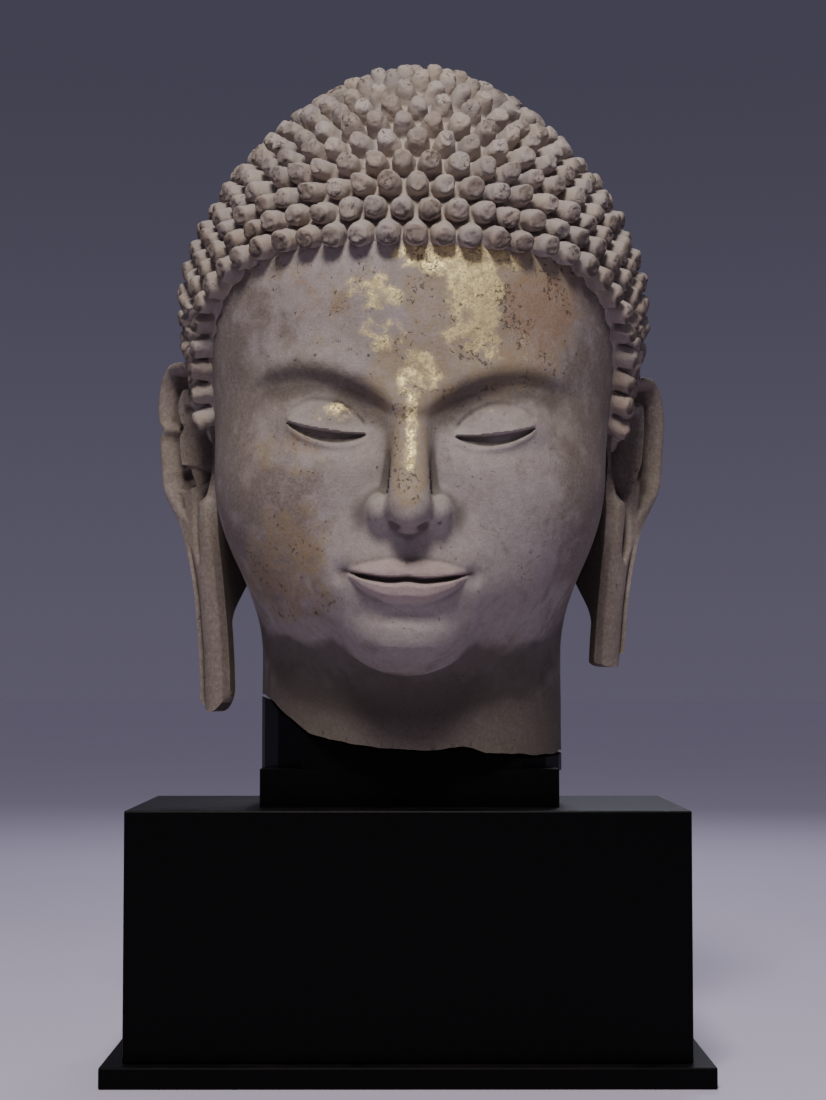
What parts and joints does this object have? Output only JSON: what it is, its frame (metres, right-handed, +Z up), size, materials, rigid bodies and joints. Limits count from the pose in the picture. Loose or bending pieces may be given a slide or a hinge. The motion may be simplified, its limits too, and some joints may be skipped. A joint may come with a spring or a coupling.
{
  "type": "stone head on a stand",
  "caption": "Carved stone head with knobbed hair and long ears, broken at the neck, held by a shaped black post on a black box stand with a base board.",
  "frame": {"origin": "centre of the underside of the base board, where it rests on a surface", "axes": "+Z up, the face looks along -Y, +X is to the right of someone who faces the sculpture"},
  "size_m": [0.5368, 0.4808, 0.9391],
  "materials": {
    "stone": "worn grey-brown limestone with patches of old gilding and ochre",
    "stand": "satin black lacquer"
  },
  "bodies": {
    "root": {"head": "stone", "support_post": "stand", "stand_body": "stand", "stand_plinth": "stand"}
  },
  "joints": []
}
